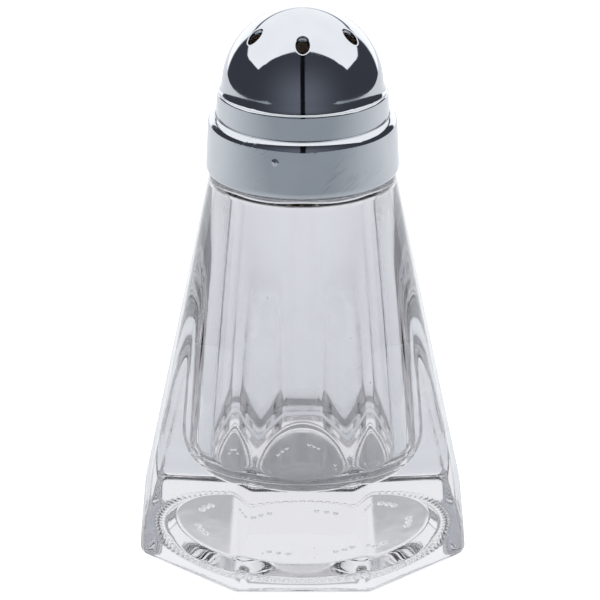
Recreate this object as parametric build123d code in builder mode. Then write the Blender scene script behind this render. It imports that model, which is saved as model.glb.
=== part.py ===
from build123d import *

import os

# Octagonal glass table shaker with a perforated screw cap.
#
# Five separate pieces, in millimetres, +Z up, origin at the centre of the underside:
#     glass_jar      clear glass body, tapered octagon outside, round cavity, screw neck
#     cap_collar     chromed ring that is gripped to unscrew the cap
#     cap_dome       chromed dome and band, drawn in one shell, with the pouring holes
#     thread_insert  moulded ring pressed into the collar, with the female thread
#     seal_washer    soft flat ring between the glass rim and the insert
# The front flat of the octagon and the first pouring hole face -Y.

# ---- glass body ----
base_flats = 50.2  # across flats of the octagon at the underside
foot_flats = 49.7  # across flats where the foot turns into the taper
foot_height = 4.4
shoulder_flats = 28.1  # across flats at the top of the taper, under the overhanging collar
shoulder_height = 59.2  # top of the taper, where the neck begins
base_corner_radius = 2.3  # rounding of the long edges at the underside
foot_corner_radius = 2.3
shoulder_corner_radius = 5.0
base_edge_radius = 1.4
shoulder_edge_radius = 0.4

# ---- underside: recess, bearing ring with its knurl, mould marks ----
recess_radius = 15.8
recess_depth = 1.3
recess_draft = 50.0  # degrees from vertical
knurl_start = 0.5  # from the recess's edge to the knurl grooves
knurl_length = 2.4
knurl_groove_radius = 0.5
knurl_depth = 0.3
knurl_count = 84
mark_circle_radius = 10.2
mark_radius = 0.6
mark_height = 0.35
mark_groups = 6
marks_per_group = 3
mark_spacing = 9.0  # degrees between the marks of one group

# ---- cavity ----
floor_height = 11.4
cavity_floor_radius = 14.0
cavity_middle_radius = 13.5
cavity_roof_radius = 12.3
cavity_floor_fillet = 5.0
cavity_roof_fillet = 1.6
neck_throat = 1.6  # glass left between the cavity's roof and the shoulder

# ---- screw neck ----
neck_bore = 17.2
neck_wall = 2.7
neck_height = 9.8
rim_radius = 0.6
thread_pitch = 3.18
thread_height = 1.1
thread_root_width = 1.9
thread_crest_width = 0.6
thread_embed = 0.3  # how far a ridge runs into the wall that carries it
thread_lead_in = 1.7  # from the shoulder to the lower flank of the thread's start
thread_run_out = 0.1  # from the upper flank of the thread's end to the end of the insert's bore

# ---- fits ----
thread_clearance = 0.25  # radial, between crest and root of the two threads
collar_gap = 0.15  # between the collar's lower edge and the glass shoulder
sliding_gap = 0.05

# ---- seal, insert ----
washer_thickness = 0.8
washer_hole = 18.0
insert_wall = 1.1
insert_neck_wall = 0.85
insert_web = 0.8
insert_hole = 18.4
insert_thread_roof = 0.9  # material between the end of the thread bore and the dome's flange

# ---- collar ----
collar_height = 9.2
collar_wall = 0.55
collar_draft = 0.42  # how much wider the collar is at its lower edge
collar_lip = 0.65  # how far the lower edge is turned in under the insert
collar_lip_height = 0.7
collar_ledge = 0.6  # thickness of the ledge that holds the dome's flange
collar_top_rounding = 0.85
collar_bottom_rounding = 1.2

# ---- dome ----
dome_radius = 12.25
flare_height = 0.6  # of the flared foot between the band's step and the dome proper
shell = 0.55
flange_thickness = 0.5
band_height = 3.8  # from the collar's ledge to the step at the dome's base
band_draft = 0.1
band_step = 0.4  # width of the step at the dome's base
band_rounding = 0.3
hole_count = 6
hole_diameter = 2.1
hole_circle_radius = 8.2
hole_rim_radius = 0.2

# ---- worked out from the values above ----
neck_radius = neck_bore / 2 + neck_wall
thread_crest = neck_radius + thread_height
insert_minor = neck_radius + thread_clearance
insert_major = thread_crest + thread_clearance
insert_radius = insert_major + insert_wall
collar_top_radius = insert_radius + collar_wall
collar_bottom_radius = collar_top_radius + collar_draft
rim_height = shoulder_height + neck_height
collar_bottom = shoulder_height + collar_gap
collar_top = collar_bottom + collar_height
insert_bottom = collar_bottom + collar_lip_height
flange_top = collar_top - collar_ledge
insert_step = flange_top - flange_thickness  # where the insert steps in under the dome's flange
thread_bore_top = insert_step - insert_thread_roof
thread_start = shoulder_height + thread_lead_in + thread_root_width / 2
thread_rise = thread_bore_top - thread_run_out - thread_root_width / 2 - thread_start
washer_radius = insert_minor - sliding_gap
web_bottom = rim_height + washer_thickness
web_top = web_bottom + insert_web
insert_neck_radius = insert_minor + insert_neck_wall
band_bore = insert_neck_radius + sliding_gap
band_top_radius = band_bore + shell
band_bottom_radius = band_top_radius + band_draft
dome_base = collar_top + band_height
flare_radius = band_top_radius - band_step
dome_centre = dome_base + flare_height
knurl_middle = recess_radius + knurl_start + knurl_length / 2
roof_height = shoulder_height - neck_throat
cavity_middle = (floor_height + roof_height) / 2

os.makedirs("parts", exist_ok=True)


# ---- cavity inside the glass, used as the cutter ----
with BuildPart() as cavity:
    with BuildSketch(Plane.XZ) as cavity_section:
        with BuildLine():
            Polyline((0, roof_height), (0, floor_height), (cavity_floor_radius, floor_height))
            ThreePointArc(
                (cavity_floor_radius, floor_height),
                (cavity_middle_radius, cavity_middle),
                (cavity_roof_radius, roof_height),
            )
            Line((cavity_roof_radius, roof_height), (0, roof_height))
        make_face()
        outer_corners = cavity_section.vertices().sort_by(Axis.X)[-2:]
        fillet(outer_corners.sort_by(Axis.Y)[0], radius=cavity_floor_fillet)
        roof_corner = cavity_section.vertices().group_by(Axis.Y)[-1].sort_by(Axis.X)[-1]
        fillet(roof_corner, radius=cavity_roof_fillet)
    revolve(axis=Axis.Z)

# ---- glass jar ----
with BuildPart() as glass_jar:
    with BuildSketch(Plane.XY.offset(0)) as base_section:
        RegularPolygon(base_flats / 2, 8, major_radius=False, rotation=22.5)
        fillet(base_section.vertices(), radius=base_corner_radius)
    with BuildSketch(Plane.XY.offset(foot_height)) as foot_section:
        RegularPolygon(foot_flats / 2, 8, major_radius=False, rotation=22.5)
        fillet(foot_section.vertices(), radius=foot_corner_radius)
    loft(ruled=True)
    with BuildSketch(Plane.XY.offset(foot_height)) as taper_section:
        RegularPolygon(foot_flats / 2, 8, major_radius=False, rotation=22.5)
        fillet(taper_section.vertices(), radius=foot_corner_radius)
    with BuildSketch(Plane.XY.offset(shoulder_height)) as shoulder_section:
        RegularPolygon(shoulder_flats / 2, 8, major_radius=False, rotation=22.5)
        fillet(shoulder_section.vertices(), radius=shoulder_corner_radius)
    loft(ruled=True)
    fillet(glass_jar.faces().sort_by(Axis.Z)[0].edges(), radius=base_edge_radius)
    fillet(glass_jar.faces().sort_by(Axis.Z)[-1].edges(), radius=shoulder_edge_radius)
    with BuildSketch(Plane.XY.offset(shoulder_height)):
        Circle(neck_radius)
    extrude(amount=neck_height)
    with BuildSketch(Plane.XY.offset(cavity_middle)):
        Circle(neck_bore / 2)
    extrude(amount=rim_height - cavity_middle, mode=Mode.SUBTRACT)
    fillet(glass_jar.faces().sort_by(Axis.Z)[-1].edges(), radius=rim_radius)
    add(cavity.part, mode=Mode.SUBTRACT)
    with BuildSketch(Plane.XY):
        Circle(recess_radius)
    extrude(amount=recess_depth, taper=recess_draft, mode=Mode.SUBTRACT)
    with Locations((0, 0, knurl_depth - knurl_groove_radius)):
        with PolarLocations(knurl_middle, knurl_count):
            Cylinder(knurl_groove_radius, knurl_length, rotation=(0, 90, 0), mode=Mode.SUBTRACT)
    with Locations((0, 0, recess_depth + mark_radius - mark_height)):
        for group in range(mark_groups):
            with PolarLocations(
                mark_circle_radius,
                marks_per_group,
                start_angle=group * 360 / mark_groups,
                angular_range=mark_spacing * (marks_per_group - 1),
                endpoint=True,
            ):
                Sphere(mark_radius)
    with BuildLine() as neck_thread:
        Helix(thread_pitch, thread_rise, neck_radius, center=(0, 0, thread_start))
    with BuildSketch(Plane(origin=neck_thread.line @ 0, x_dir=(1, 0, 0), z_dir=neck_thread.line % 0)):
        with BuildLine():
            Polyline(
                (-thread_embed, -thread_root_width / 2),
                (0, -thread_root_width / 2),
                (thread_height, -thread_crest_width / 2),
                (thread_height, thread_crest_width / 2),
                (0, thread_root_width / 2),
                (-thread_embed, thread_root_width / 2),
                close=True,
            )
        make_face()
    sweep(path=neck_thread.line, is_frenet=True)

# ---- chromed collar ----
with BuildPart() as cap_collar:
    with BuildSketch(Plane.XZ) as collar_section:
        with BuildLine():
            Polyline(
                (insert_radius - collar_lip, collar_bottom),
                (collar_bottom_radius, collar_bottom),
                (collar_top_radius, collar_top),
                (band_bottom_radius + sliding_gap, collar_top),
                (band_bottom_radius + sliding_gap, flange_top),
                (insert_radius, flange_top),
                (insert_radius, insert_bottom),
                (insert_radius - collar_lip, insert_bottom),
                close=True,
            )
        make_face()
        outer_corners = collar_section.vertices().sort_by(Axis.X)[-2:]
        fillet(outer_corners.sort_by(Axis.Y)[0], radius=collar_bottom_rounding)
        top_corner = collar_section.vertices().group_by(Axis.Y)[-1].sort_by(Axis.X)[-1]
        fillet(top_corner, radius=collar_top_rounding)
    revolve(axis=Axis.Z)

# ---- perforated dome with its band and flange ----
with BuildPart() as cap_dome:
    with BuildSketch(Plane.XZ) as dome_section:
        with BuildLine():
            Polyline(
                (0, dome_centre + dome_radius - shell),
                (0, dome_centre + dome_radius),
            )
            CenterArc((0, dome_centre), dome_radius, 0, 90)
            Polyline(
                (dome_radius, dome_centre),
                (flare_radius, dome_base),
                (band_top_radius, dome_base),
                (band_bottom_radius, flange_top),
                (insert_radius - sliding_gap, flange_top),
                (insert_radius - sliding_gap, insert_step),
                (band_bore, insert_step),
                (band_bore, dome_base - shell),
                (dome_radius - shell, dome_centre),
            )
            CenterArc((0, dome_centre), dome_radius - shell, 0, 90)
        make_face()
        step_corner = dome_section.vertices().filter_by_position(
            Axis.X, band_top_radius - 0.01, band_top_radius + 0.01
        )
        fillet(step_corner, radius=band_rounding)
    revolve(axis=Axis.Z)
    with BuildSketch(Plane.XY.offset(dome_base)):
        with PolarLocations(hole_circle_radius, hole_count, start_angle=-90):
            Circle(hole_diameter / 2)
    extrude(amount=flare_height + dome_radius, mode=Mode.SUBTRACT)
    hole_rims = cap_dome.edges().filter_by(GeomType.BSPLINE).group_by(Axis.Z)[-1]
    fillet(hole_rims, radius=hole_rim_radius)

# ---- ridge of the insert, made at the neck thread's start and set half a turn from it ----
with BuildPart() as insert_ridge:
    with BuildLine() as insert_thread:
        Helix(thread_pitch, thread_rise, insert_major, center=(0, 0, thread_start))
    with BuildSketch(Plane(origin=insert_thread.line @ 0, x_dir=(-1, 0, 0), z_dir=insert_thread.line % 0)):
        with BuildLine():
            Polyline(
                (-thread_embed, -thread_root_width / 2),
                (0, -thread_root_width / 2),
                (thread_height, -thread_crest_width / 2),
                (thread_height, thread_crest_width / 2),
                (0, thread_root_width / 2),
                (-thread_embed, thread_root_width / 2),
                close=True,
            )
        make_face()
    sweep(path=insert_thread.line, is_frenet=True)

# ---- moulded thread insert ----
with BuildPart() as thread_insert:
    with BuildSketch(Plane.XZ):
        with BuildLine():
            Polyline(
                (insert_major, insert_bottom),
                (insert_radius, insert_bottom),
                (insert_radius, insert_step),
                (insert_neck_radius, insert_step),
                (insert_neck_radius, web_top),
                (insert_hole / 2, web_top),
                (insert_hole / 2, web_bottom),
                (insert_minor, web_bottom),
                (insert_minor, thread_bore_top),
                (insert_major, thread_bore_top),
                close=True,
            )
        make_face()
    revolve(axis=Axis.Z)
    add(insert_ridge.part, rotation=(0, 0, 180))

# ---- seal washer ----
with BuildPart() as seal_washer:
    with BuildSketch(Plane.XY.offset(rim_height)):
        Circle(washer_radius)
        Circle(washer_hole / 2, mode=Mode.SUBTRACT)
    extrude(amount=washer_thickness)

glass_jar.part.label = "glass_jar"
cap_collar.part.label = "cap_collar"
cap_dome.part.label = "cap_dome"
thread_insert.part.label = "thread_insert"
seal_washer.part.label = "seal_washer"

export_step(glass_jar.part, "parts/glass_jar.step")
export_step(cap_collar.part, "parts/cap_collar.step")
export_step(cap_dome.part, "parts/cap_dome.step")
export_step(thread_insert.part, "parts/thread_insert.step")
export_step(seal_washer.part, "parts/seal_washer.step")
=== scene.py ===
import math
import random

import bmesh
import bpy
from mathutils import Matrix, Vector
from mathutils.geometry import delaunay_2d_cdt


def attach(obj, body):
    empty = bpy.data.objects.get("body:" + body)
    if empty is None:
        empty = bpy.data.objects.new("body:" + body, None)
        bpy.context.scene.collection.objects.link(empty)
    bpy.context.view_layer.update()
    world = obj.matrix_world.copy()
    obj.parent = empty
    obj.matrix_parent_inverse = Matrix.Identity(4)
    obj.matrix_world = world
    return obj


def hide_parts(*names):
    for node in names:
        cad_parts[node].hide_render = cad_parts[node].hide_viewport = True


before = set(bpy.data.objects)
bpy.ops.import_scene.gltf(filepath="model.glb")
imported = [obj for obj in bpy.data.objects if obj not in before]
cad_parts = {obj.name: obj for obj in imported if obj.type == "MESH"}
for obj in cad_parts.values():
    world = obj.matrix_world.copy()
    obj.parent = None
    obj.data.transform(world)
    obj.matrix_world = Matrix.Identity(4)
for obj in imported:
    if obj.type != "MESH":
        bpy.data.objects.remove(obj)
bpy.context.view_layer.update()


# ---------------------------------------------------------------------------
# Glass jar
# One piece of clear flint glass, pressed and blown in a mould: an octagonal
# tower with a thick foot, a round cavity, and a neck with one thread ridge.
# It stands on a knurled ring around a shallow round recess.
# ---------------------------------------------------------------------------
mm = 0.001  # lengths below are written in millimetres
jar_steps = 420  # points around the jar: five for each knurl groove
base_apothem = 25.1 * mm
foot_apothem = 24.85 * mm
foot_height = 4.4 * mm
shoulder_apothem = 14.05 * mm
shoulder_height = 59.2 * mm
base_corner = 2.3 * mm
least_corner = 0.9 * mm
shoulder_corner = 10.0 * mm
base_edge = 1.4 * mm
shoulder_edge = 0.4 * mm
foot_blend = 0.8 * mm  # half the height over which foot and taper run together

recess_radius = 15.8 * mm
recess_depth = 1.3 * mm
recess_draft = math.radians(50)
recess_ease = 0.3 * mm  # width over which the recess's ceiling bends into its wall
knurl_inside = recess_radius + 0.5 * mm
knurl_outside = knurl_inside + 2.4 * mm
knurl_groove = 0.5 * mm
knurl_depth = 0.3 * mm
knurl_count = 84
knurl_margin = 0.03 * mm
centre_hole = 0.5 * mm  # radius of the innermost ring, which a fan of triangles closes
mark_circle = 10.2 * mm
mark_radius = 0.6 * mm
mark_height = 0.35 * mm
mark_room = 0.8 * mm  # half the width of the finely divided belt that holds the marks
mark_groups = 6
marks_per_group = 3
mark_spacing = math.radians(9)

floor_height = 11.4 * mm
cavity_floor = 14.0 * mm
cavity_middle = 13.5 * mm
cavity_roof = 12.3 * mm
roof_height = shoulder_height - 1.2 * mm
floor_fillet = 5.0 * mm
ripple_height = 0.012 * mm
ripple_fade = 4 * mm
roof_fillet = 0.8 * mm
throat = 1.1 * mm  # rounding from the cavity's roof into the neck's bore

neck_radius = 11.3 * mm
neck_bore = 8.6 * mm
rim_height = shoulder_height + 9.8 * mm
rim_round = 0.6 * mm
thread_pitch = 3.18 * mm
thread_turns = 1.148
thread_start = shoulder_height + 2.65 * mm
thread_height = 1.1 * mm
thread_root = 0.95 * mm  # half the ridge's width at its root
thread_crest = 0.3 * mm
thread_fade = math.radians(16)


def around(steps):
    """Angles of the points of a ring, starting at the front."""
    return [2 * math.pi * i / steps - math.pi / 2 for i in range(steps)]


def blend(a, b, t):
    return a + (b - a) * t


def span(a, b, count):
    """count + 1 values from a to b."""
    return [blend(a, b, i / count) for i in range(count + 1)]


def octagon_radius(angle, apothem, corner):
    """Radius of a round-cornered octagon with a flat facing the front."""
    eighth = math.pi / 4
    from_flat = abs((angle + math.pi / 2 + eighth / 2) % eighth - eighth / 2)
    core = apothem - corner
    if math.tan(from_flat) * apothem <= core * math.tan(eighth / 2):
        return apothem / math.cos(from_flat)
    centre = core / math.cos(eighth / 2)
    from_corner = eighth / 2 - from_flat
    return centre * math.cos(from_corner) + math.sqrt(
        max(corner ** 2 - (centre * math.sin(from_corner)) ** 2, 0)
    )


def octagon_ring(z, apothem, corner):
    return [
        (r * math.cos(a), r * math.sin(a), z)
        for a in around(jar_steps)
        for r in [octagon_radius(a, apothem, corner)]
    ]


def round_ring(z, radius, steps):
    return [(radius * math.cos(a), radius * math.sin(a), z) for a in around(steps)]


def skin(rings, poles, closed=False):
    """Vertices and faces of a skin over rings; poles are end points, or None at an open end."""
    steps = len(rings[0])
    points = [p for ring in rings for p in ring]
    faces = []
    rows = range(len(rings) if closed else len(rings) - 1)
    for row in rows:
        low, high = row * steps, (row + 1) % len(rings) * steps
        for i in range(steps):
            j = (i + 1) % steps
            faces.append((low + i, low + j, high + j, high + i))
    for pole, row, turn in ((poles[0], 0, True), (poles[1], len(rings) - 1, False)):
        if pole is None:
            continue
        points.append(pole)
        tip = len(points) - 1
        for i in range(steps):
            j = (i + 1) % steps
            pair = (row * steps + j, row * steps + i) if turn else (row * steps + i, row * steps + j)
            faces.append((*pair, tip))
    return points, faces


def make_piece(name, points, faces, body, material, replaced, weld=False):
    mesh = bpy.data.meshes.new(name)
    mesh.from_pydata(points, [], faces)
    if weld:
        work = bmesh.new()
        work.from_mesh(mesh)
        bmesh.ops.remove_doubles(work, verts=work.verts, dist=0.002 * mm)
        bmesh.ops.recalc_face_normals(work, faces=work.faces)
        work.to_mesh(mesh)
        work.free()
    mesh.validate()
    mesh.shade_smooth()
    mesh.materials.append(material)
    piece = bpy.data.objects.new(name, mesh)
    bpy.context.scene.collection.objects.link(piece)
    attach(piece, body)
    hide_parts(replaced)
    return piece


def knurl_rise(angle, radius):
    """How far a worn knurl groove cuts up into the bearing ring: deepest at its middle."""
    pitch = 2 * math.pi / knurl_count
    aside = abs((angle + pitch / 2) % pitch - pitch / 2) * radius
    if aside >= knurl_groove:
        return 0
    cut = max(math.sqrt(knurl_groove ** 2 - aside ** 2) - (knurl_groove - knurl_depth), 0)
    along = (radius - knurl_inside) / (knurl_outside - knurl_inside)
    return cut * math.sin(math.pi * min(max(along, 0), 1)) ** 2


def mark_drop(x, y):
    """How far a mould mark stands down from the recess's ceiling."""
    for group in range(mark_groups):
        for i in range(marks_per_group):
            a = group * 2 * math.pi / mark_groups + i * mark_spacing
            away = math.hypot(x - mark_circle * math.cos(a), y - mark_circle * math.sin(a))
            if away < mark_radius:
                cap = math.sqrt(mark_radius ** 2 - away ** 2) - (mark_radius - mark_height)
                return max(cap, 0)
    return 0


def underside_rings():
    rings = []
    ceiling = recess_radius - recess_depth * math.tan(recess_draft)
    radii = span(centre_hole, mark_circle - mark_room, 10)
    radii += span(mark_circle - 0.65 * mm, mark_circle + 0.65 * mm, 10)
    radii += span(mark_circle + mark_room, ceiling - recess_ease, 5)
    for radius in radii:
        ring = round_ring(recess_depth, radius, jar_steps)
        rings.append([(x, y, z - mark_drop(x, y)) for x, y, z in ring])
    for t in span(0, 1, 4)[1:]:
        radius = ceiling - recess_ease * (1 - t) + 0.1 * mm * t
        rings.append(round_ring(recess_depth - 0.09 * mm * t * t, radius, jar_steps))
    # the worn edge of the recess, then flat to the knurl
    for height, inset in ((0.12 * mm, 0.16 * mm), (0.04 * mm, 0.03 * mm), (0, -0.12 * mm)):
        rings.append(round_ring(height, recess_radius - inset, jar_steps))
    rings.append(round_ring(0, knurl_inside - knurl_margin, jar_steps))
    for radius in span(knurl_inside, knurl_outside, 8):
        ring = round_ring(0, radius, jar_steps)
        rings.append([(x, y, knurl_rise(a, radius)) for (x, y, _), a in zip(ring, around(jar_steps))])
    rings.append(round_ring(0, knurl_outside + knurl_margin, jar_steps))
    return rings


def outer_profile(z):
    """Apothem and corner radius of the outside at a height."""
    rise = max((z - foot_height) / (shoulder_height - foot_height), 0)
    corner = blend(base_corner, shoulder_corner, rise)
    below = blend(base_apothem, foot_apothem, z / foot_height)
    near = (z - foot_height) / foot_blend
    if near <= -1:
        return below, corner
    if near >= 1:
        return blend(foot_apothem, shoulder_apothem, rise), corner
    lean = (foot_apothem - shoulder_apothem) / (shoulder_height - foot_height)
    lean -= (base_apothem - foot_apothem) / foot_height
    return below - lean * foot_blend * (near + 1) ** 2 / 4, corner


def outside_rings():
    rings = []
    lean = math.atan((base_apothem - foot_apothem) / foot_height)
    core = base_apothem - base_edge * (math.tan(lean) + 1 / math.cos(lean))
    for t in span(-math.pi / 2, lean, 9):
        reach = base_edge * math.cos(t)
        corner = max(base_corner - base_edge + reach, least_corner)
        rings.append(octagon_ring(base_edge * (1 + math.sin(t)), core + reach, corner))
    heights = span(2 * mm, foot_height - foot_blend, 2)
    heights += span(foot_height - foot_blend, foot_height + foot_blend, 8)[1:]
    heights += span(foot_height + foot_blend, shoulder_height - 2 * shoulder_edge, 14)[1:]
    rings += [octagon_ring(z, *outer_profile(z)) for z in heights]
    top, corner = outer_profile(shoulder_height - shoulder_edge)
    for t in span(0, math.pi / 2, 5):
        inset = shoulder_edge * (1 - math.cos(t))
        z = shoulder_height - shoulder_edge * (1 - math.sin(t))
        rings.append(octagon_ring(z, top - inset, corner - inset))
    return rings


def thread_rise(angle, z):
    """How far the thread ridge stands out of the neck."""
    turn = 2 * math.pi
    best = 0
    for lap in range(2):
        along = angle % turn + lap * turn
        length = thread_turns * turn
        if along > length:
            continue
        middle = thread_start + thread_pitch * along / turn
        flank = (thread_root - abs(z - middle)) / (thread_root - thread_crest)
        flank = min(max(flank, 0), 1)
        fade = min(along, length - along) / thread_fade
        fade = min(max(fade, 0), 1)
        best = max(best, thread_height * flank * fade * (2 - fade))
    return best


def neck_rings():
    rings = [round_ring(shoulder_height, neck_radius + 0.5 * mm, jar_steps)]
    rings.append(round_ring(shoulder_height + 0.15 * mm, neck_radius + 0.15 * mm, jar_steps))
    for z in span(shoulder_height + 0.5 * mm, rim_height - rim_round, 40):
        rings.append([
            ((neck_radius + rise) * math.cos(a), (neck_radius + rise) * math.sin(a), z)
            for a in around(jar_steps)
            for rise in [thread_rise(a, z)]
        ])
    for t in span(0, math.pi / 2, 5)[1:]:
        z = rim_height - rim_round * (1 - math.sin(t))
        rings.append(round_ring(z, neck_radius - rim_round * (1 - math.cos(t)), jar_steps))
    for t in span(math.pi / 2, math.pi, 5):
        z = rim_height - rim_round * (1 - math.sin(t))
        rings.append(round_ring(z, neck_bore + rim_round * (1 + math.cos(t)), jar_steps))
    return rings


def cavity_radius(z):
    """Radius of the cavity's wall: an arc through its radii at floor, middle and roof."""
    t = (z - floor_height) / (roof_height - floor_height)
    bow = cavity_middle - (cavity_floor + cavity_roof) / 2
    return blend(cavity_floor, cavity_roof, t) + 4 * bow * t * (1 - t)


def ripple(angle, z):
    """Faint unevenness of the blown inside, where no mould touched the glass."""
    rise = z / (60 * mm)
    wave = math.sin(3 * angle + 90 * rise) + 0.6 * math.sin(5 * angle - 140 * rise + 1.3)
    return ripple_height * wave


def cavity_rings():
    rings = []
    for z in span(rim_height - rim_round, roof_height + throat, 8)[1:]:
        rings.append(round_ring(z, neck_bore, jar_steps))
    for t in span(0, math.pi / 2, 5)[1:]:
        rings.append(round_ring(
            roof_height + throat * (1 - math.sin(t)), neck_bore + throat * (1 - math.cos(t)), jar_steps))
    wall = cavity_radius(roof_height - roof_fillet)
    for t in span(0, math.pi / 2, 8):
        rings.append(round_ring(
            roof_height - roof_fillet * (1 - math.cos(t)), wall - roof_fillet * (1 - math.sin(t)), jar_steps))
    for z in span(roof_height - roof_fillet, floor_height + floor_fillet, 24)[1:]:
        ring = []
        from_roof = (roof_height - roof_fillet - z) / ripple_fade
        from_floor = (z - floor_height - floor_fillet) / ripple_fade
        fade = min(from_roof, from_floor, 1)
        for a in around(jar_steps):
            radius = cavity_radius(z) + fade * ripple(a, z)
            ring.append((radius * math.cos(a), radius * math.sin(a), z))
        rings.append(ring)
    corner = cavity_radius(floor_height + floor_fillet) - floor_fillet
    for t in span(0, math.pi / 2, 16)[1:]:
        rings.append(round_ring(
            floor_height + floor_fillet * (1 - math.sin(t)), corner + floor_fillet * math.cos(t), jar_steps))
    for radius in span(corner, centre_hole, 6)[1:]:
        rings.append(round_ring(floor_height, radius, jar_steps))
    return rings


def seed_bubbles(count):
    """Small gas bubbles in the thick parts of the glass, drawn out upward as it was blown."""
    chance = random.Random(7)
    depth = 0.6 * mm  # of glass left between a bubble's middle and either surface
    points, faces = [], []
    for _ in range(count):
        z = chance.uniform(4, 50) * mm
        inside = cavity_radius(max(z, floor_height)) + depth if z > floor_height - 1 * mm else 0
        outside = outer_profile(z)[0] - depth
        radius = blend(inside, outside, chance.random() ** 0.5)
        a = chance.uniform(0, 2 * math.pi)
        size = chance.uniform(0.05, 0.13) * mm
        middle = Vector((radius * math.cos(a), radius * math.sin(a), z))
        reach = 1.6 * size
        rings = [
            [middle + Vector(p) for p in round_ring(reach * math.cos(t), size * math.sin(t), 12)]
            for t in span(0.3, math.pi - 0.3, 6)
        ]
        tips = (middle + Vector((0, 0, reach)), middle - Vector((0, 0, reach)))
        new_points, new_faces = skin(rings, tips)
        faces += [tuple(i + len(points) for i in face) for face in new_faces]
        points += new_points
    return points, faces


def new_material(name):
    """A material with its node tree and its Principled node."""
    material = bpy.data.materials.new(name)
    material.use_nodes = True
    return material, material.node_tree, material.node_tree.nodes["Principled BSDF"]


def add_node(tree, kind, inputs=None, **settings):
    """A node with its settings made and its inputs set to numbers or linked to sockets."""
    node = tree.nodes.new("ShaderNode" + kind)
    for setting, value in settings.items():
        setattr(node, setting, value)
    for socket, value in (inputs or {}).items():
        if isinstance(value, bpy.types.NodeSocket):
            tree.links.new(value, node.inputs[socket])
        else:
            node.inputs[socket].default_value = value
    return node


def noise(tree, place, scale, detail=2.0):
    return add_node(tree, "TexNoise", {"Vector": place, "Scale": scale, "Detail": detail}).outputs["Fac"]


def remap(tree, value, low, high, new_low, new_high):
    inputs = {"Value": value, "From Min": low, "From Max": high, "To Min": new_low, "To Max": new_high}
    return add_node(tree, "MapRange", inputs).outputs["Result"]


def arithmetic(tree, operation, *values):
    return add_node(tree, "Math", dict(enumerate(values)), operation=operation).outputs[0]


glass, tree, body = new_material("clear_flint_glass")
body.inputs["IOR"].default_value = 1.52
body.inputs["Transmission Weight"].default_value = 1.0
body.inputs["Base Color"].default_value = (0.945, 0.94, 0.952, 1)
place = add_node(tree, "TexCoord").outputs["Object"]
# the mould's skin leaves the pressed surface very faintly uneven
mould = arithmetic(tree, "MULTIPLY", noise(tree, place, 70, 1), noise(tree, place, 240, 1))
relief = add_node(tree, "Bump", {"Height": mould, "Strength": 0.02, "Distance": 0.0003})
tree.links.new(relief.outputs["Normal"], body.inputs["Normal"])
tree.links.new(remap(tree, noise(tree, place, 90, 3), 0.45, 0.8, 0.0, 0.035), body.inputs["Roughness"])
tint = add_node(tree, "VolumeAbsorption", {"Color": (0.85, 0.845, 0.865, 1), "Density": 14.0})
tree.links.new(tint.outputs["Volume"], tree.nodes["Material Output"].inputs["Volume"])

jar_rings = underside_rings() + outside_rings() + neck_rings() + cavity_rings()
points, faces = skin(jar_rings, ((0, 0, recess_depth), (0, 0, floor_height)))
seed_points, seed_faces = seed_bubbles(26)
faces += [tuple(i + len(points) for i in face) for face in seed_faces]
make_piece("jar_glass", points + seed_points, faces, "jar", glass, "glass_jar")


# ---------------------------------------------------------------------------
# Chromed collar
# A drawn brass ring, polished and chromium plated, with a rounded top edge,
# a narrow ledge that holds the dome down, and its lower edge rolled in.
# ---------------------------------------------------------------------------
collar_steps = 256
collar_bottom = shoulder_height + 0.15 * mm
collar_top = collar_bottom + 9.2 * mm
collar_low_radius = 14.72 * mm
collar_top_radius = 14.3 * mm
collar_bottom_round = 1.2 * mm
crown_round = 1.45 * mm
crown_end = math.radians(78)  # where the rounded top meets the bore
insert_radius = 13.75 * mm
collar_lip = 0.65 * mm
collar_lip_height = 0.7 * mm
band_low_radius = 13.1 * mm
ledge_bore = band_low_radius + 0.02 * mm
ledge_height = 0.6 * mm


def arc(x, z, radius, start, end, count):
    """Points of an arc in a profile, angles in radians from the outward direction."""
    return [(x + radius * math.cos(a), z + radius * math.sin(a)) for a in span(start, end, count)]


def straight(start, end):
    """Points of a straight stretch, with two close to its ends so that its shading stays flat."""
    return [(blend(start[0], end[0], t), blend(start[1], end[1], t)) for t in (0, 0.03, 0.5, 0.97, 1)]


def turned(profile, steps):
    """Rings of a profile turned about the axis."""
    return [round_ring(z, r, steps) for r, z in profile]


def collar_profile():
    lean = math.atan((collar_low_radius - collar_top_radius) / (collar_top - collar_bottom))
    low = collar_low_radius - collar_bottom_round * (math.tan(lean) + 1 / math.cos(lean))
    crown_height = collar_top - crown_round * math.sin(crown_end)
    high = collar_top_radius + (collar_top - crown_height) * math.tan(lean) - crown_round / math.cos(lean)
    lip = insert_radius - collar_lip
    foot = arc(low, collar_bottom + collar_bottom_round, collar_bottom_round, -math.pi / 2, lean, 12)
    crown = arc(high, crown_height, crown_round, lean, crown_end, 24)
    profile = straight((lip, collar_bottom), foot[0])[:-1] + foot[:-1]
    profile += straight(foot[-1], crown[0])[:-1] + crown[:-1]
    profile += [crown[-1], (ledge_bore, collar_top - 0.04 * mm)]
    profile += straight((ledge_bore, collar_top - ledge_height), (insert_radius, collar_top - ledge_height))
    inner_low = (insert_radius, collar_bottom + collar_lip_height)
    profile += straight((insert_radius, collar_top - ledge_height), inner_low)[1:]
    return profile + straight(inner_low, (lip, collar_bottom + collar_lip_height))[1:]


def mixed(tree, factor, first, second):
    """A colour from first to second as the factor goes from 0 to 1."""
    mix = add_node(tree, "Mix", {"Factor": factor, 6: first, 7: second}, data_type="RGBA")
    return mix.outputs[2]


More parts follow.
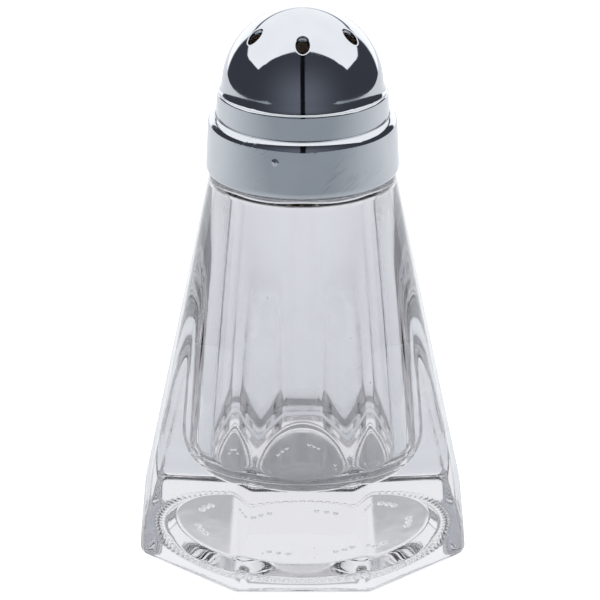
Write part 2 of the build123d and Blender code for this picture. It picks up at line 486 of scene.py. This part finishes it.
def plating_wear():
    """Shared detail of the plated pieces: roughness, tint and normal of a handled bright finish."""
    group = bpy.data.node_groups.new("plating_wear", "ShaderNodeTree")
    for name, kind in {"Scratches": "NodeSocketFloat", "Nick": "NodeSocketVector"}.items():
        group.interface.new_socket(name, in_out="INPUT", socket_type=kind)
    results = {"Color": "NodeSocketColor", "Roughness": "NodeSocketFloat", "Normal": "NodeSocketVector"}
    for name, kind in results.items():
        group.interface.new_socket(name, in_out="OUTPUT", socket_type=kind)
    given = group.nodes.new("NodeGroupInput").outputs
    result = group.nodes.new("NodeGroupOutput").inputs
    place = add_node(group, "TexCoord").outputs["Object"]

    smear = noise(group, place, 160, 4)
    rough = remap(group, smear, 0.4, 0.75, 0.035, 0.10)
    # rub marks: noise drawn out along one slanting direction, kept where it peaks and in a few patches
    turned_place = add_node(group, "Mapping", {"Vector": place, "Rotation": (0, -0.87, 0)}).outputs[0]
    drawn_out = add_node(group, "Mapping", {"Vector": turned_place, "Scale": (3800, 600, 240)}).outputs[0]
    marks = remap(group, noise(group, drawn_out, 1.0, 1), 0.56, 0.68, 0, 1)
    patches = remap(group, noise(group, place, 130, 1), 0.48, 0.60, 0, 1)
    marks = arithmetic(group, "MULTIPLY", marks, patches)
    marks = arithmetic(group, "MULTIPLY", marks, given["Scratches"])
    # one small dent
    away = add_node(group, "VectorMath", {0: place, 1: given["Nick"]}, operation="DISTANCE").outputs["Value"]
    dent = remap(group, away, 0.00015, 0.0006, 1, 0)
    dent = arithmetic(group, "MULTIPLY", dent, noise(group, place, 1700, 2))
    # the drawn sheet under the plating is never quite true
    sheet = noise(group, place, 75, 1)

    height = arithmetic(group, "MULTIPLY_ADD", marks, 0.06, sheet)
    soft = add_node(group, "Bump", {"Height": height, "Strength": 0.12, "Distance": 0.0006})
    hard = add_node(group, "Bump", {
        "Height": dent, "Strength": 0.8, "Distance": 0.00025, "Normal": soft.outputs["Normal"]})
    group.links.new(hard.outputs["Normal"], result["Normal"])

    group.links.new(arithmetic(group, "MULTIPLY_ADD", marks, 0.16, rough), result["Roughness"])
    handled = remap(group, smear, 0.3, 0.8, 0, 1)
    worn = mixed(group, handled, (0.56, 0.575, 0.60, 1), (0.51, 0.53, 0.56, 1))
    rubbed = mixed(group, arithmetic(group, "MULTIPLY", marks, 0.15), worn, (0.40, 0.42, 0.45, 1))
    group.links.new(rubbed, result["Color"])
    return group


def chrome_material(name, wear, scratches, nick):
    material, tree, body = new_material(name)
    body.inputs["Metallic"].default_value = 1.0
    detail = add_node(tree, "Group", node_tree=wear)
    detail.inputs["Scratches"].default_value = scratches
    detail.inputs["Nick"].default_value = nick
    tree.links.new(detail.outputs["Color"], body.inputs["Base Color"])
    tree.links.new(detail.outputs["Roughness"], body.inputs["Roughness"])
    tree.links.new(detail.outputs["Normal"], body.inputs["Normal"])
    return material


wear = plating_wear()
nick_angle = math.radians(-106.5)
nick_radius = 14.5 * mm
nick_height = collar_top - 3.1 * mm
nick = (nick_radius * math.cos(nick_angle), nick_radius * math.sin(nick_angle), nick_height)
collar_chrome = chrome_material("collar_chrome_plate", wear, 1.0, nick)
points, faces = skin(turned(collar_profile(), collar_steps), (None, None), closed=True)
make_piece("collar_ring", points, faces, "cap", collar_chrome, "cap_collar")


# ---------------------------------------------------------------------------
# Chromed dome
# One shell drawn from brass sheet: dome, stepped band and a flange held under
# the collar's ledge, with six pouring holes punched from above and plated over.
# ---------------------------------------------------------------------------
dome_steps = 240
dome_radius = 12.25 * mm
dome_base = collar_top + 3.8 * mm
flare = 0.5 * mm  # width of the concave sweep that leads from the dome into the band's step
flare_from = math.radians(86)
flare_start = 0.25  # radians along the sweep where its slope is the dome's
dome_centre = dome_base + 0.6 * mm
shell = 0.55 * mm
band_top_radius = 13.0 * mm
band_round = 0.3 * mm
band_bore = 12.45 * mm
flange_radius = 13.7 * mm
flange_top = collar_top - ledge_height
flange_low = flange_top - 0.5 * mm
hole_radius = 1.05 * mm
hole_circle = 8.2 * mm
hole_round = 0.22 * mm
hole_steps = 48
hole_places = [(hole_circle * math.cos(a), hole_circle * math.sin(a)) for a in around(6)]
outer_seam, inner_seam = 10.5 * mm, 10.0 * mm  # radii where the holed top joins the turned sides


def sphere_height(x, y, radius):
    return dome_centre + math.sqrt(radius ** 2 - x ** 2 - y ** 2)


def circle(x, y, radius, steps):
    return [(x + radius * math.cos(a), y + radius * math.sin(a)) for a in around(steps)]


def cap_patch(radius, edge_radius, hole):
    """The top of a sphere inside edge_radius, as triangles that leave the six holes open."""
    plan = circle(0, 0, edge_radius, dome_steps)
    for x, y in hole_places:
        plan += circle(x, y, hole, hole_steps)
    ties = []
    loops = [(0, dome_steps)] + [(dome_steps + i * hole_steps, hole_steps) for i in range(len(hole_places))]
    for first, count in loops:
        ties += [(first + i, first + (i + 1) % count) for i in range(count)]
    for x, y in hole_places:
        for wider in (0.06 * mm, 0.16 * mm, 0.34 * mm):
            plan += circle(x, y, hole + wider, hole_steps)
    rows = 26
    for row in range(rows):
        ring = edge_radius * row / rows
        for x, y in circle(0, 0, ring, max(round(6.3 * row), 1)):
            if min(math.hypot(x - a, y - b) for a, b in hole_places) > hole + 0.5 * mm:
                plan.append((x, y))
    flat, _, triangles, *_ = delaunay_2d_cdt([Vector(p) for p in plan], ties, [], 0, 1e-9)
    faces = []
    for triangle in triangles:
        x = sum(flat[i].x for i in triangle) / 3
        y = sum(flat[i].y for i in triangle) / 3
        if min(math.hypot(x - a, y - b) for a, b in hole_places) > hole * 0.999:
            faces.append(tuple(triangle))
    return [(p.x, p.y, sphere_height(p.x, p.y, radius)) for p in flat], faces


def hole_wall(x, y):
    """Rings of one hole: a rounding off the outer skin, then down to the inner skin."""
    rings = []
    for t in span(0, math.pi / 2, 8):
        reach = hole_radius + hole_round * (1 - math.sin(t))
        drop = hole_round * (1 - math.cos(t))
        plan = circle(x, y, reach, hole_steps)
        rings.append([(a, b, sphere_height(a, b, dome_radius) - drop) for a, b in plan])
    for t in (0.15, 0.6, 1):
        ring = []
        for a, b in circle(x, y, hole_radius, hole_steps):
            top = sphere_height(a, b, dome_radius) - hole_round
            ring.append((a, b, blend(top, sphere_height(a, b, dome_radius - shell), t)))
        rings.append(ring)
    return rings


def step_wander(angle):
    """Small unevenness of the hand-polished step between dome and band."""
    waves = math.sin(23 * angle) + math.sin(37 * angle + 1) + 0.7 * math.sin(61 * angle + 2)
    return 0.025 * mm * waves / 2


def on_sphere(radius, tilts):
    """Profile points of the dome's sphere at angles from its top."""
    return [(radius * math.sin(t), dome_centre + radius * math.cos(t)) for t in tilts]


def dome_profile():
    """From the dome's outer skin down over the band and flange, and back up inside."""
    outer = on_sphere(dome_radius, span(math.asin(outer_seam / dome_radius), flare_from, 22))
    inset, top = outer[-1]
    sweep = [(inset + flare * (1 - math.cos(t) / math.cos(flare_start)),
              dome_base + (top - dome_base) * (1 - math.sin(t)) / (1 - math.sin(flare_start)))
             for t in span(flare_start, math.pi / 2, 18)[1:]]
    lean = math.atan((band_low_radius - band_top_radius) / (dome_base - flange_top))
    high = band_top_radius + band_round * (math.tan(lean) - 1 / math.cos(lean))
    crown = arc(high, dome_base - band_round, band_round, math.pi / 2, lean, 10)
    profile = outer + sweep + crown
    profile += straight(crown[-1], (band_low_radius, flange_top))[1:]
    profile += straight((band_low_radius, flange_top), (flange_radius, flange_top))[1:]
    profile += [(flange_radius, flange_low), (band_bore, flange_low)]
    profile += straight((band_bore, flange_low), (band_bore, dome_base - shell))[1:]
    inner = dome_radius - shell
    return profile + on_sphere(inner, span(math.pi / 2, math.asin(inner_seam / inner), 16))


def dome_mesh():
    rings = turned(dome_profile(), dome_steps)
    for ring in rings:
        x, y, z = ring[0]
        if abs(z - dome_base) < 0.2 * mm and math.hypot(x, y) > dome_radius + 0.2 * mm:
            ring[:] = [(x, y, z + min(step_wander(math.atan2(y, x)), 0)) for x, y, z in ring]
    pieces = [skin(rings, (None, None))]
    pieces.append(cap_patch(dome_radius, outer_seam, hole_radius + hole_round))
    pieces.append(cap_patch(dome_radius - shell, inner_seam, hole_radius))
    pieces += [skin(hole_wall(x, y), (None, None)) for x, y in hole_places]
    points, faces = [], []
    for new_points, new_faces in pieces:
        faces += [tuple(i + len(points) for i in face) for face in new_faces]
        points += new_points
    return points, faces


def bare_inside():
    """The unplated inside of the shell: brown tarnished brass, dull and a little blotched."""
    material, tree, body = new_material("tarnished_inside")
    body.inputs["Metallic"].default_value = 0.3
    body.inputs["Roughness"].default_value = 0.55
    place = add_node(tree, "TexCoord").outputs["Object"]
    blotch = remap(tree, noise(tree, place, 350, 3), 0.35, 0.65, 0, 1)
    stain = mixed(tree, blotch, (0.34, 0.25, 0.18, 1), (0.50, 0.40, 0.31, 1))
    tree.links.new(stain, body.inputs["Base Color"])
    return material


dome_chrome = chrome_material("dome_chrome_plate", wear, 0.08, (0, 0, 0))
points, faces = dome_mesh()
dome = make_piece("dome_shell", points, faces, "cap", dome_chrome, "cap_dome", weld=True)
dome.data.materials.append(bare_inside())
for face in dome.data.polygons:
    from_centre = Vector((face.center.x, face.center.y, max(face.center.z - dome_centre, 0)))
    if from_centre.length < dome_radius - 0.9 * shell and face.normal.dot(from_centre) < 0:
        face.material_index = 1


# ---------------------------------------------------------------------------
# Thread insert
# A dark brown ring of moulded plastic, pressed into the collar. It has the
# thread that turns on the neck and the web that bears on the seal.
# ---------------------------------------------------------------------------
moulding, tree, body = new_material("brown_moulded_plastic")
place = add_node(tree, "TexCoord").outputs["Object"]
flour = noise(tree, place, 1500, 3)
cloud = noise(tree, place, 180, 2)
speckle = remap(tree, flour, 0.35, 0.7, 0, 1)
mottle = mixed(tree, speckle, (0.035, 0.017, 0.010, 1), (0.085, 0.042, 0.022, 1))
tree.links.new(mottle, body.inputs["Base Color"])
tree.links.new(remap(tree, cloud, 0.3, 0.7, 0.32, 0.55), body.inputs["Roughness"])
grain = add_node(tree, "Bump", {"Height": flour, "Strength": 0.15, "Distance": 0.0002})
tree.links.new(grain.outputs["Normal"], body.inputs["Normal"])
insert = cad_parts["thread_insert"]
insert.data.materials.clear()
insert.data.materials.append(moulding)


# ---------------------------------------------------------------------------
# Seal washer
# A flat ring punched from soft off-white foamed sheet, lying on the glass rim
# and pressed by the insert's web.
# ---------------------------------------------------------------------------
foam, tree, body = new_material("soft_seal_sheet")
place = add_node(tree, "TexCoord").outputs["Object"]
cells = add_node(tree, "TexVoronoi", {"Vector": place, "Scale": 2600}).outputs["Distance"]
fibre = noise(tree, place, 420, 3)
shade = mixed(tree, fibre, (0.62, 0.60, 0.55, 1), (0.78, 0.77, 0.73, 1))
tree.links.new(shade, body.inputs["Base Color"])
tree.links.new(remap(tree, fibre, 0.3, 0.7, 0.7, 0.9), body.inputs["Roughness"])
pores = add_node(tree, "Bump", {"Height": cells, "Strength": 0.3, "Distance": 0.0002})
tree.links.new(pores.outputs["Normal"], body.inputs["Normal"])
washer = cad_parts["seal_washer"]
washer.data.materials.clear()
washer.data.materials.append(foam)


# ---------------------------------------------------------------------------
# Studio
# A plain pale floor under a large overhead soft box, with a white wall behind
# and a dim room in front, and the camera a little above the shaker.
# ---------------------------------------------------------------------------
floor_mesh = bpy.data.meshes.new("studio_floor")
floor_front, floor_back, floor_side = -0.30, 3.0, 0.36
floor_mesh.from_pydata(
    [(-floor_side, floor_front, 0), (floor_side, floor_front, 0),
     (floor_side, floor_back, 0), (-floor_side, floor_back, 0)],
    [], [(0, 1, 2, 3)])
floor = bpy.data.objects.new("studio_floor", floor_mesh)
bpy.context.scene.collection.objects.link(floor)
floor.location.z = -0.05 * mm
pale, tree, body = new_material("pale_table_top")
body.inputs["Roughness"].default_value = 0.7
body.inputs["Emission Color"].default_value = (1, 1, 1, 1)
# painted shade and painted light: the colour is darker and bluer to the front where the soft box's light
# falls off, and the floor glows, brighter to the back, white where it is seen plainly, and not so bright as
# to bleach the chrome
spot = add_node(tree, "SeparateXYZ", {"Vector": add_node(tree, "TexCoord").outputs["Object"]})
behind = remap(tree, spot.outputs["Y"], -0.2, 0.1, 0, 1)
# painted shade: darker, bluer colour to the front, lighter to the back
shade = mixed(tree, behind, (0.46, 0.50, 0.54, 1), (0.70, 0.72, 0.74, 1))
tree.links.new(shade, body.inputs["Base Color"])
ray = add_node(tree, "LightPath").outputs
# painted light: the floor's glow is full where it is seen directly, a little weaker through glass, and in
# reflections only the part toward the back
plain = arithmetic(tree, "MULTIPLY_ADD", ray["Is Transmission Ray"], -0.17, 1.0)
plain = arithmetic(tree, "SUBTRACT", plain, ray["Is Glossy Ray"])
behind = arithmetic(tree, "MULTIPLY", behind, 0.28)
glow = arithmetic(tree, "MULTIPLY_ADD", plain, 0.68, behind)
tree.links.new(glow, body.inputs["Emission Strength"])
floor_mesh.materials.append(pale)

world = bpy.data.worlds.new("studio")
bpy.context.scene.world = world
world.use_nodes = True
tree = world.node_tree
tree.nodes.clear()


def maths(operation, *values):
    return arithmetic(tree, operation, *values)


def edge(value, width):
    """0 to 1 as value passes 0, over a soft edge."""
    inputs = {"Value": value, "From Min": -width, "From Max": width}
    return add_node(tree, "MapRange", inputs, interpolation_type="SMOOTHSTEP").outputs["Result"]


# each edge of the soft box and the wall is a slope between the parts of a direction
direction = add_node(tree, "TexCoord").outputs["Generated"]
right, back, up = add_node(tree, "SeparateXYZ", {"Vector": direction}).outputs
aside = maths("ABSOLUTE", right)
box_front = maths("ADD", maths("ADD", back, maths("MULTIPLY", up, 0.42)), maths("MULTIPLY", aside, 0.07))
box_side = maths("SUBTRACT", maths("MULTIPLY", up, 2.2), aside)
box_back = maths("SUBTRACT", up, maths("ADD", maths("MULTIPLY", back, 0.35), maths("MULTIPLY", aside, 0.33)))
soft_box = maths("MULTIPLY", edge(box_front, 0.012), edge(maths("MINIMUM", box_side, box_back), 0.02))
wall_side = maths("SUBTRACT", maths("MULTIPLY", back, 0.85), aside)
wall_top = maths("SUBTRACT", maths("ADD", maths("MULTIPLY", back, 0.34), maths("MULTIPLY", aside, 0.2)), up)
wall = maths("MULTIPLY", edge(wall_side, 0.05), edge(wall_top, 0.02))
lit = maths("MAXIMUM", soft_box, wall)

# the room in front: dim, a little lighter straight ahead, with one dark gap in the middle
ahead = maths("MAXIMUM", maths("MULTIPLY", back, -1), 0)
gap_side = edge(maths("SUBTRACT", 0.055, aside), 0.01)
gap = maths("MULTIPLY", gap_side, edge(maths("SUBTRACT", ahead, 0.05), 0.05))
room = maths("ADD", maths("MULTIPLY", maths("POWER", ahead, 4), 0.17), 0.085)
room = maths("MULTIPLY", room, maths("SUBTRACT", 1, maths("MULTIPLY", gap, 0.95)))

box_level, wall_level, backdrop_level = 1.48, 1.6, 1.1
box_light = maths("MULTIPLY", soft_box, box_level)
wall_light = maths("MULTIPLY", maths("SUBTRACT", lit, soft_box), wall_level)
level = maths("ADD", maths("ADD", box_light, wall_light), maths("MULTIPLY", maths("SUBTRACT", 1, lit), room))
# the glass shows a softer, more even room than the chrome does
seen = add_node(tree, "LightPath").outputs
through_glass = seen["Is Transmission Ray"]
level = maths("MULTIPLY", level, maths("SUBTRACT", 1, maths("MULTIPLY", through_glass, 0.33)))
level = maths("MAXIMUM", level, maths("MULTIPLY", through_glass, 0.55))
level = maths("MAXIMUM", level, maths("MULTIPLY", seen["Is Camera Ray"], backdrop_level))
neutral = maths("MAXIMUM", lit, maths("MAXIMUM", seen["Is Camera Ray"], through_glass))
cool = mixed(tree, neutral, (0.72, 0.78, 0.96, 1), (0.98, 0.99, 1.0, 1))
light = add_node(tree, "Background", {"Color": cool, "Strength": level})
add_node(tree, "OutputWorld", {"Surface": light.outputs[0]})

scene = bpy.context.scene
scene.view_settings.view_transform = "Standard"
scene.cycles.max_bounces = 24
scene.cycles.transmission_bounces = 24
scene.cycles.glossy_bounces = 12

camera_data = bpy.data.cameras.new("camera")
camera_data.lens = 273.8
camera_data.sensor_width = 36
camera = bpy.data.objects.new("camera", camera_data)
scene.collection.objects.link(camera)
aim = Vector((-0.4 * mm, 0, 38.17 * mm))
camera_height = math.radians(21.35)
camera_distance = 0.7
toward_camera = Vector((0, -math.cos(camera_height), math.sin(camera_height)))
camera.location = aim + toward_camera * camera_distance
camera.rotation_euler = (-toward_camera).to_track_quat("-Z", "Y").to_euler()
scene.camera = camera
